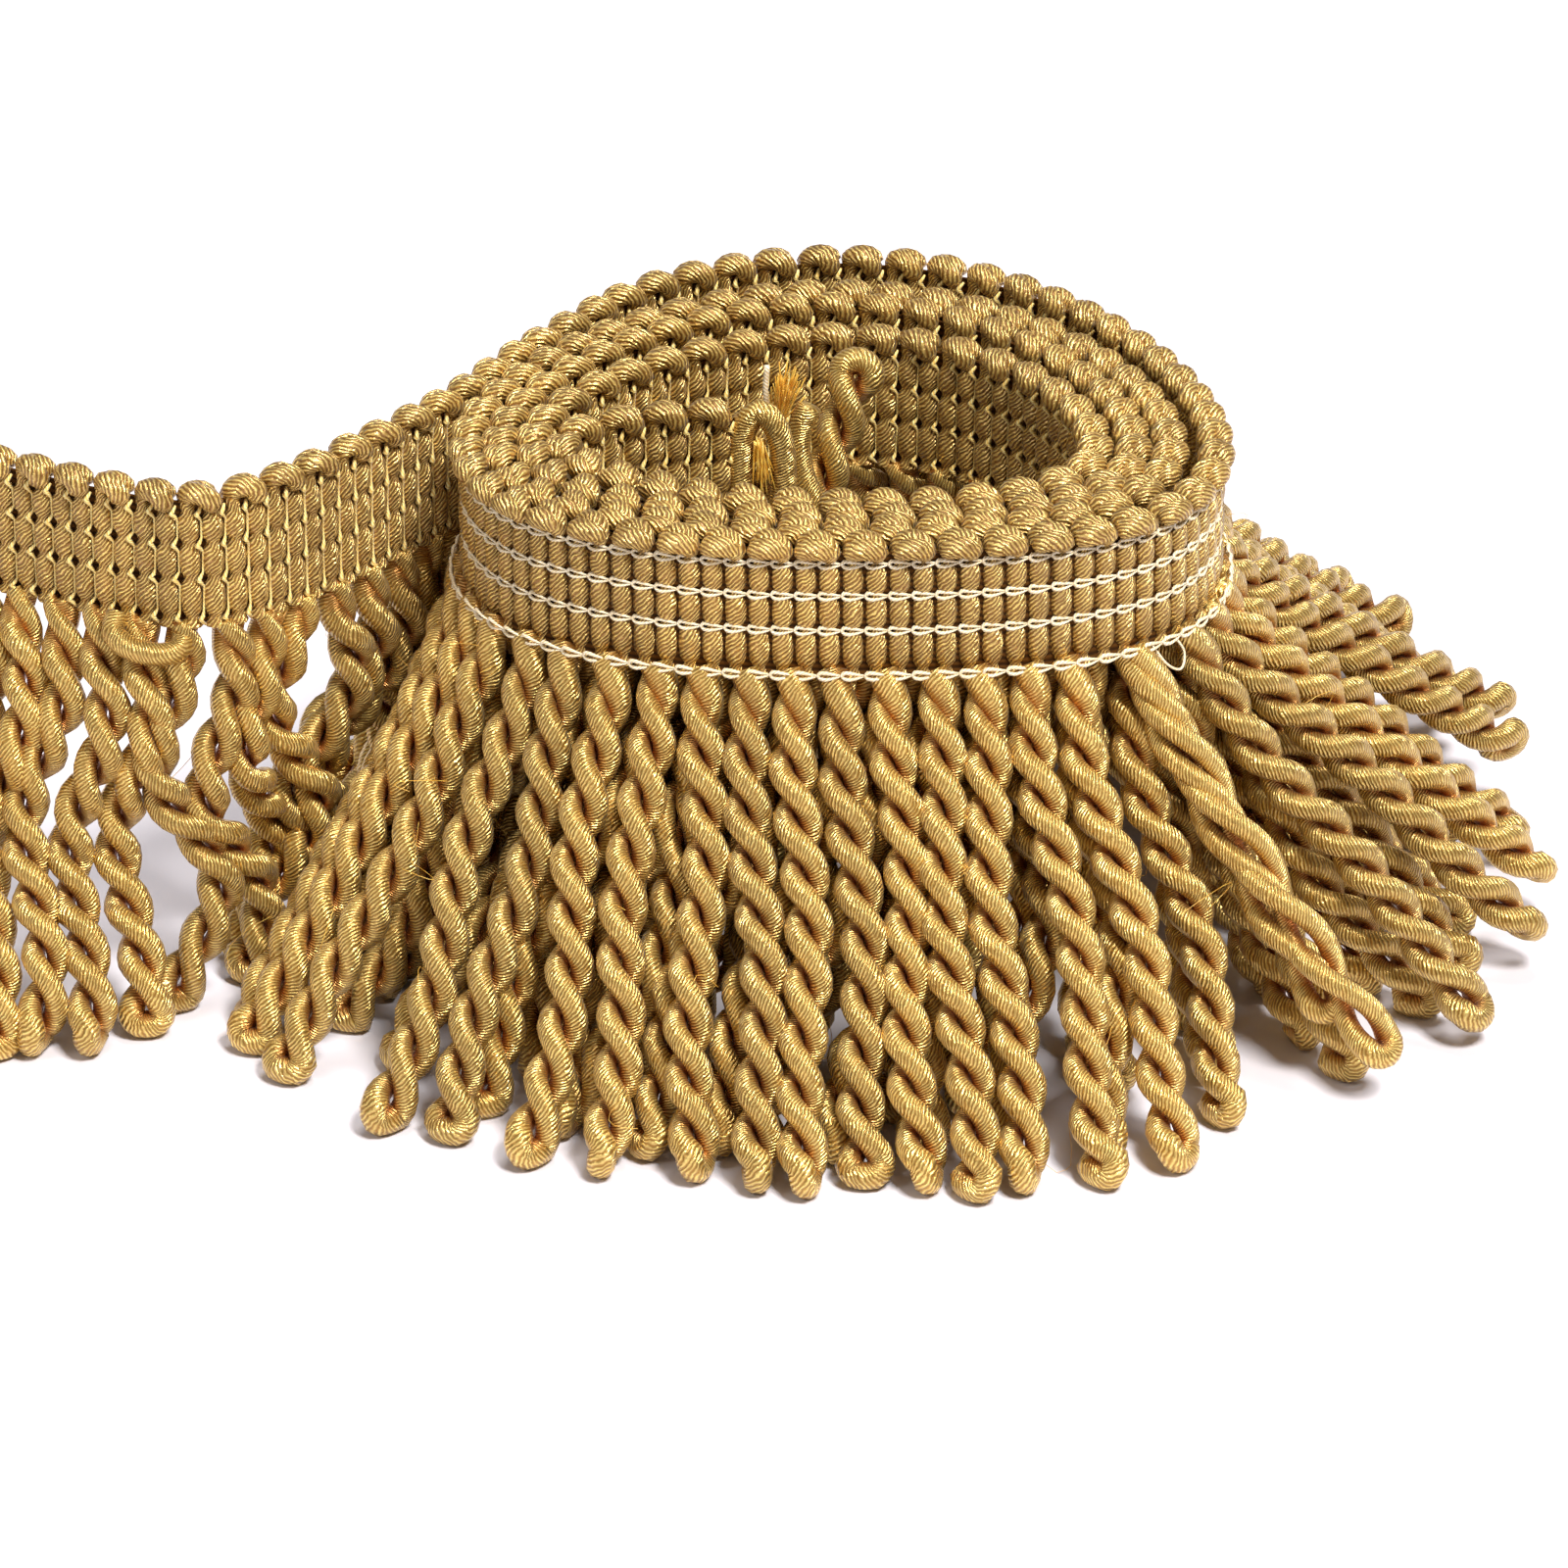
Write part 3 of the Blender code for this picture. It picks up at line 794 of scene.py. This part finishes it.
def rayon(name, light, body, groove_shade_and_glow, roughness, around, per_mm, relief, gleam):
    """Satin rayon, a bright continuous filament laid in fine ridges that gleam across their length.

    The filaments reflect in their own gold, so part of the gloss is metallic. The ridge crests are painted in
    the light colour and the hollows between them in the body colour: painted highlight and painted shade.
    The grooves between the plies are painted a darker, warm saturated orange: painted shade and painted
    bounce light, for the light that passes through the filaments before it comes out.
    """
    made, tree, shader = new_material(
        name, Roughness=roughness, IOR=1.53, Sheen_Weight=0.05, Sheen_Roughness=0.4, Anisotropic=0.4,
        Metallic=gleam, Specular_IOR_Level=0.8, Coat_Weight=0.3, Coat_Roughness=0.3)
    ridge, tone = filaments(tree, around, per_mm, 2.2)
    depth = add_node(tree, "ShaderNodeAttribute", attribute_name="depth")
    # Painted highlight on the ridge crests in the light colour, painted shade between them in the body colour.
    lit = add_node(tree, "ShaderNodeMix", {"Factor": ridge}, data_type="RGBA")
    lit.inputs["A"].default_value = body
    lit.inputs["B"].default_value = light
    # Painted shade and orange bounce light in the grooves, laid on by depth towards the cord's axis.
    inside = add_node(tree, "ShaderNodeMapRange", {"Value": depth.outputs["Fac"]}, From_Min=0.3, From_Max=0.78)
    deep = add_node(tree, "ShaderNodeMix", {"Factor": inside.outputs["Result"], "A": lit.outputs["Result"]},
                    data_type="RGBA")
    deep.inputs["B"].default_value = groove_shade_and_glow
    shade = add_node(tree, "ShaderNodeMapRange", {"Value": tone}, To_Min=0.84, To_Max=1.1)
    tinted = add_node(tree, "ShaderNodeVectorMath", {0: deep.outputs["Result"], "Scale": shade.outputs["Result"]},
                      operation="SCALE")
    bump = add_node(tree, "ShaderNodeBump", {"Height": ridge}, Strength=1.0, Distance=relief)
    grain = add_node(tree, "ShaderNodeTangent", direction_type="UV_MAP", uv_map="UVMap")
    tree.links.new(tinted.outputs["Vector"], shader.inputs["Base Color"])
    tree.links.new(bump.outputs["Normal"], shader.inputs["Normal"])
    tree.links.new(bump.outputs["Normal"], shader.inputs["Coat Normal"])
    tree.links.new(grain.outputs["Tangent"], shader.inputs["Tangent"])
    return made


def bullion_rayon(cord):
    # Ridges 0.37 mm apart, 24 degrees off square to a ply of 9 mm girth: 10 of them round, 2.5 to the millimetre.
    # B0620E is the painted shade and orange bounce light of the grooves between the plies.
    return rayon("twisted_satin_rayon", (*cord.light, 1.0), (*cord.body, 1.0), linear("#B0620E"), 0.33, -10.0, 2.5,
                 0.14 * MM, 0.72)


def gimp_rayon():
    # Ridges 0.49 mm apart, climbing at 39 degrees round a rib of 8.6 mm girth; duller than the cords.
    # The pale and dark golds are painted highlight on the ridge crests and painted shade between them.
    return rayon("gimp_wrapped_rayon", linear("#FFDC7E"), linear("#8A5A1C"), linear("#6E4214"), 0.32, -11.0, 1.6,
                 0.17 * MM, 0.6)


def cut_rayon():
    # Loose filaments have no ridges of their own, only a slow change of shade along them.
    return rayon("cut_rayon_filaments", linear("#FFD860"), linear("#E2A024"), linear("#B8620C"), 0.4, 1.0, 0.4,
                 0.005 * MM, 0.15)


def stitch_thread(name, light, shade):
    """Textured polyester thread, with its plies just showing."""
    made, tree, shader = new_material(name, Roughness=0.5, IOR=1.57, Sheen_Weight=0.2)
    ridge, _ = filaments(tree, 3.0, 2.2, 0.4)
    # The light colour on the ply ridges is painted highlight, and the shade colour between them is painted shade.
    lit = add_node(tree, "ShaderNodeMix", {"Factor": ridge}, data_type="RGBA")
    lit.inputs["A"].default_value = linear(shade)
    lit.inputs["B"].default_value = linear(light)
    bump = add_node(tree, "ShaderNodeBump", {"Height": ridge}, Strength=0.8, Distance=0.04 * MM)
    tree.links.new(lit.outputs["Result"], shader.inputs["Base Color"])
    tree.links.new(bump.outputs["Normal"], shader.inputs["Normal"])
    return made


def ground_knit():
    """Warp-knitted rayon ground, dull, with courses 0.8 mm apart, painted dark as shade between the ribs."""
    made, tree, shader = new_material("knitted_rayon_ground", Roughness=0.8, IOR=1.5, Specular_IOR_Level=0.1)
    place = add_node(tree, "ShaderNodeTexCoord")
    courses = add_node(tree, "ShaderNodeTexWave", {"Vector": place.outputs["Object"]}, bands_direction="Z",
                       Scale=1.0 / (0.8 * MM) / 3.18, Distortion=2.0, Detail=2.0)
    mix = add_node(tree, "ShaderNodeMix", {"Factor": courses.outputs["Fac"]}, data_type="RGBA")
    # Both browns are painted shade for the ground that shows between the ribs.
    mix.inputs["A"].default_value = linear("#2E1A06")
    mix.inputs["B"].default_value = linear("#5A3812")
    bump = add_node(tree, "ShaderNodeBump", {"Height": courses.outputs["Fac"]}, Strength=0.7, Distance=0.1 * MM)
    tree.links.new(mix.outputs["Result"], shader.inputs["Base Color"])
    tree.links.new(bump.outputs["Normal"], shader.inputs["Normal"])
    return made


def floor_paper():
    """Seamless paper, smooth and matt, a very pale lavender white with a faint mottle."""
    made, tree, shader = new_material("seamless_paper", Roughness=0.85, IOR=1.45)
    place = add_node(tree, "ShaderNodeTexCoord")
    mottle = add_node(tree, "ShaderNodeTexNoise", {"Vector": place.outputs["Object"]}, Scale=6.0, Detail=2.0)
    mix = add_node(tree, "ShaderNodeMix", {"Factor": mottle.outputs["Fac"]}, data_type="RGBA")
    mix.inputs["A"].default_value = linear("#DAD6DC")
    mix.inputs["B"].default_value = linear("#DEDAE0")
    tree.links.new(mix.outputs["Result"], shader.inputs["Base Color"])
    return made


# ---------------------------------------------------------------- operators


def trim_line():
    return PlanLine(bpy.context.scene.bullion_cord.pitch)


class FRINGE_OT_cords(bpy.types.Operator):
    """Twist the cords of the outer turn, the tail and the turns inside"""

    bl_idname = "fringe.cords"
    bl_label = "Bullion cords"

    def execute(self, context):
        line, cord = trim_line(), context.scene.bullion_cord
        finish = bullion_rayon(cord)
        thick = cord_nearest(line, THICK_CORD_ANGLE)
        for i, group in enumerate(CORD_GROUPS):
            rng = np.random.default_rng(SEED + i)
            strands = turn_cords(line, cord, group, rng, (thick, thick + 1))
            if group.part == "outer_turn":
                strands += thick_cord(line, thick)
            sweep(group.part + "_cords", strands, group.resolution, finish, ["fringe_" + group.part])
        return {"FINISHED"}


class FRINGE_OT_ribs(bpy.types.Operator):
    """Lay the gimp ribs and turn them over as edge loops"""

    bl_idname = "fringe.ribs"
    bl_label = "Ribs and edge loops"

    def execute(self, context):
        line, heading = trim_line(), context.scene.trim_heading
        rng = np.random.default_rng(SEED + 10)
        finish = gimp_rayon()
        tones = rng.uniform(0.0, 1.0, line.cords + 1)
        leans = rng.normal(0.0, 0.16 * MM, line.cords + 1)
        loops = range(1, line.cords)
        strands = [rib_and_loop(line, k * line.pitch, heading, tones[k], leans[k]) for k in loops]
        quarter = line.pitch / 4.0
        strands.append(end_rib(line, quarter, heading, tones[0]))
        strands.append(end_rib(line, line.length - quarter, heading, tones[-1]))
        sweep("ribs_and_edge_loops", strands, 2, finish, HEADING_NODES)
        pads = [edge_pad(line, k * line.pitch, heading, tones[k], leans[k]) for k in loops]
        sweep("edge_loop_pads", pads, 4, finish, HEADING_NODES)
        return {"FINISHED"}


class FRINGE_OT_stitches(bpy.types.Operator):
    """Sew the four rows of chain stitch through the ribs"""

    bl_idname = "fringe.stitches"
    bl_label = "Stitching"

    def execute(self, context):
        line, heading = trim_line(), context.scene.trim_heading
        rng = np.random.default_rng(SEED + 20)
        gaps = np.arange(1, 2 * line.cords) * line.pitch / 2.0
        heights = [HEADING_TOP - depth * MM for depth in STITCH_DEPTHS]
        links = [chain_link(line, gap, height, heading) for gap in gaps[:-1] for height in heights]
        cream = stitch_thread("polyester_chain_thread", "#FFF8E4", "#E2C892")
        sweep("chain_stitches", links, 0, cream, HEADING_NODES)
        wales = [wale_thread(line, gap, heading, rng) for gap in gaps]
        gold = stitch_thread("polyester_wale_thread", "#FFF3A8", "#E8B850")
        sweep("wale_threads", wales, 0, gold, HEADING_NODES)
        return {"FINISHED"}


class FRINGE_OT_loose_ends(bpy.types.Operator):
    """Add the loose plies, the cut ends, the pulled threads and the stray filaments"""

    bl_idname = "fringe.loose_ends"
    bl_label = "Loose ends"

    def execute(self, context):
        line, cord = trim_line(), context.scene.bullion_cord
        rng = np.random.default_rng(SEED + 30)
        finish = bpy.data.materials["twisted_satin_rayon"]
        standing = np.array(((17.0, -4.0, 40.0), (18.0, -1.0, 50.0), (20.5, 1.5, 58.0), (22.5, 3.0, 65.0))) * MM
        plies = [
            hand_laid(((8.4, -5.6, 52.0), (8.6, -5.8, 59.5), (10.6, -6.4, 62.9), (12.9, -6.6, 60.0), (13.5, -6.2, 54.0),
                       (13.0, -5.2, 47.0), (12.4, -4.8, 41.0)), 1.55 * MM),
            hand_laid(((16.5, -1.0, 61.0), (15.2, -1.5, 57.5), (15.6, -2.5, 53.0), (17.8, -4.0, 47.5),
                       (18.6, -4.5, 41.0)), 1.5 * MM, tone=0.3),
            cord_route(smooth_route(standing, AXIS_POINTS), np.array((0.8, -0.6, 0.0)), cord_shape(cord),
                       0.95 * MM, 0.7, 0.4),
            hand_laid(((-63.6, -27.8, 47.0), (-64.0, -29.5, 45.5), (-62.0, -31.0, 44.2), (-58.5, -31.4, 43.6),
                       (-56.2, -30.4, 44.0), (-56.0, -28.2, 45.6)), 1.4 * MM),
            hand_laid(((-92.0, -31.0, 33.5), (-87.0, -34.5, 34.6), (-82.2, -35.0, 32.0), (-80.4, -34.5, 27.0),
                       (-82.6, -34.0, 21.5), (-86.0, -33.0, 16.0)), 1.5 * MM),
        ]
        sweep("loose_plies", plies, 3, finish, [])
        cut = tuft((10.7, -6.8, 59.2), (0.05, -0.15, -1.0), 5.5, 0.14, 50, 0.13 * MM, rng)
        cut += tuft((12.8, 0.4, 58.6), (0.15, -0.1, 1.0), 6.2, 0.17, 60, 0.13 * MM, rng)
        cut += stray_fibres(line, 150, rng)
        sweep("cut_filaments", cut, 0, cut_rayon(), [])
        station = line.read_back(PULLED_THREAD_ANGLE)
        loops = [hand_laid([tuple(line.place(station + along * MM, HEADING_FOOT + up * MM, out * MM) / MM)
                            for along, up, out in route], 0.16 * MM, 22) for route in PULLED_THREADS]
        loops.append(hand_laid(((11.6, 1.4, 59.0), (11.3, 1.3, 62.0), (11.5, 1.2, 65.2)), 0.34 * MM, 10))
        sweep("pulled_threads", loops, 1, bpy.data.materials["polyester_chain_thread"], [])
        return {"FINISHED"}


class FRINGE_OT_ground(bpy.types.Operator):
    bl_idname = "fringe.ground"
    bl_label = "Knitted ground"

    def execute(self, context):
        line, heading = trim_line(), context.scene.trim_heading
        foot, top = HEADING_FOOT + 0.4 * MM, HEADING_TOP - 2.6 * MM
        bm = bmesh.new()
        stations = np.linspace(0.0, line.length, 4 * line.cords)
        verts = [bm.verts.new(place) for place in line.place(stations, foot, 0.0)]
        edges = [bm.edges.new(pair) for pair in zip(verts, verts[1:])]
        raised = bmesh.ops.extrude_edge_only(bm, edges=edges)["geom"]
        upper = [v for v in raised if isinstance(v, bmesh.types.BMVert)]
        bmesh.ops.translate(bm, vec=(0.0, 0.0, top - foot), verts=upper)
        bmesh.ops.solidify(bm, geom=bm.faces, thickness=heading.ground_thickness)
        bmesh.ops.recalc_face_normals(bm, faces=bm.faces)
        mesh = bpy.data.meshes.new("knitted_ground")
        bm.to_mesh(mesh)
        bm.free()
        ground = add_piece("knitted_ground", mesh, ground_knit(), HEADING_NODES)
        return {"FINISHED"}


class FRINGE_OT_stage(bpy.types.Operator):
    """Set the floor, the camera and soft studio lights"""

    bl_idname = "fringe.stage"
    bl_label = "Stage"

    def execute(self, context):
        scene, stage = context.scene, context.scene.fringe_stage
        bm = bmesh.new()
        bmesh.ops.create_grid(bm, x_segments=1, y_segments=1, size=4.0)
        mesh = bpy.data.meshes.new("floor")
        bm.to_mesh(mesh)
        bm.free()
        mesh.materials.append(floor_paper())
        floor = bpy.data.objects.new("floor", mesh)
        scene.collection.objects.link(floor)

        low, high = CAD_BOX
        middle = Vector((0.0135, -0.0008, 0.0104))
        back = Vector((0.0, -math.cos(stage.elevation), math.sin(stage.elevation)))
        lens = bpy.data.cameras.new("camera")
        lens.lens, lens.sensor_width = stage.lens, 36.0
        lens.clip_start, lens.clip_end = 0.05, 20.0
        camera = bpy.data.objects.new("camera", lens)
        camera.location = middle + back * stage.distance
        camera.rotation_euler = (math.pi / 2.0 - stage.elevation, 0.0, 0.0)
        scene.collection.objects.link(camera)
        scene.camera = camera

        centre = (low + high) / 2.0
        for name, place, size, power, tint in (
            ("key", (0.55, -0.75, 1.48), 0.42, stage.key_power, (1.0, 0.99, 0.97)),
            ("top", (0.2, 0.5, 1.85), 0.7, 0.52 * stage.key_power, (1.0, 1.0, 1.0)),
            ("fill", (-1.05, -0.8, 0.9), 0.5, 0.1 * stage.key_power, (1.0, 1.0, 1.0)),
        ):
            lamp = bpy.data.lights.new(name, "AREA")
            lamp.size, lamp.energy, lamp.color = size, power, tint
            light = bpy.data.objects.new(name, lamp)
            light.location = centre + Vector(place)
            light.rotation_euler = (-Vector(place)).to_track_quat("-Z", "Y").to_euler()
            scene.collection.objects.link(light)
        scene.world = bpy.data.worlds.new("studio")
        scene.world.use_nodes = True
        air = scene.world.node_tree.nodes["Background"]
        air.inputs["Color"].default_value = linear("#F8F4FB")
        air.inputs["Strength"].default_value = 0.23
        scene.view_settings.view_transform = "Standard"
        return {"FINISHED"}


class FRINGE_PT_panel(bpy.types.Panel):
    """The fringe's sizes and its makers, in the order that they run"""

    bl_label = "Rolled bullion fringe"
    bl_idname = "FRINGE_PT_panel"
    bl_space_type = "VIEW_3D"
    bl_region_type = "UI"
    bl_category = "Fringe"

    def draw(self, context):
        for name in ("bullion_cord", "trim_heading", "fringe_stage"):
            box = self.layout.box()
            group = getattr(context.scene, name)
            for prop in group.__annotations__:
                box.prop(group, prop)
        for maker in MAKERS:
            self.layout.operator(maker.bl_idname)


MAKERS = (FRINGE_OT_cords, FRINGE_OT_ribs, FRINGE_OT_stitches, FRINGE_OT_loose_ends, FRINGE_OT_ground, FRINGE_OT_stage)
SETTINGS = (("bullion_cord", BullionCordSettings), ("trim_heading", HeadingSettings), ("fringe_stage", StageSettings))


def register():
    for _, group in SETTINGS:
        bpy.utils.register_class(group)
    for cls in (*MAKERS, FRINGE_PT_panel):
        bpy.utils.register_class(cls)
    for name, group in SETTINGS:
        setattr(bpy.types.Scene, name, PointerProperty(type=group))


def unregister():
    for name, _ in SETTINGS:
        delattr(bpy.types.Scene, name)
    for cls in (FRINGE_PT_panel, *MAKERS):
        bpy.utils.unregister_class(cls)
    for _, group in SETTINGS:
        bpy.utils.unregister_class(group)


def main():
    register()
    bpy.ops.fringe.cords()
    bpy.ops.fringe.ribs()
    bpy.ops.fringe.stitches()
    bpy.ops.fringe.loose_ends()
    bpy.ops.fringe.ground()
    bpy.ops.fringe.stage()


if __name__ == "__main__":
    main()
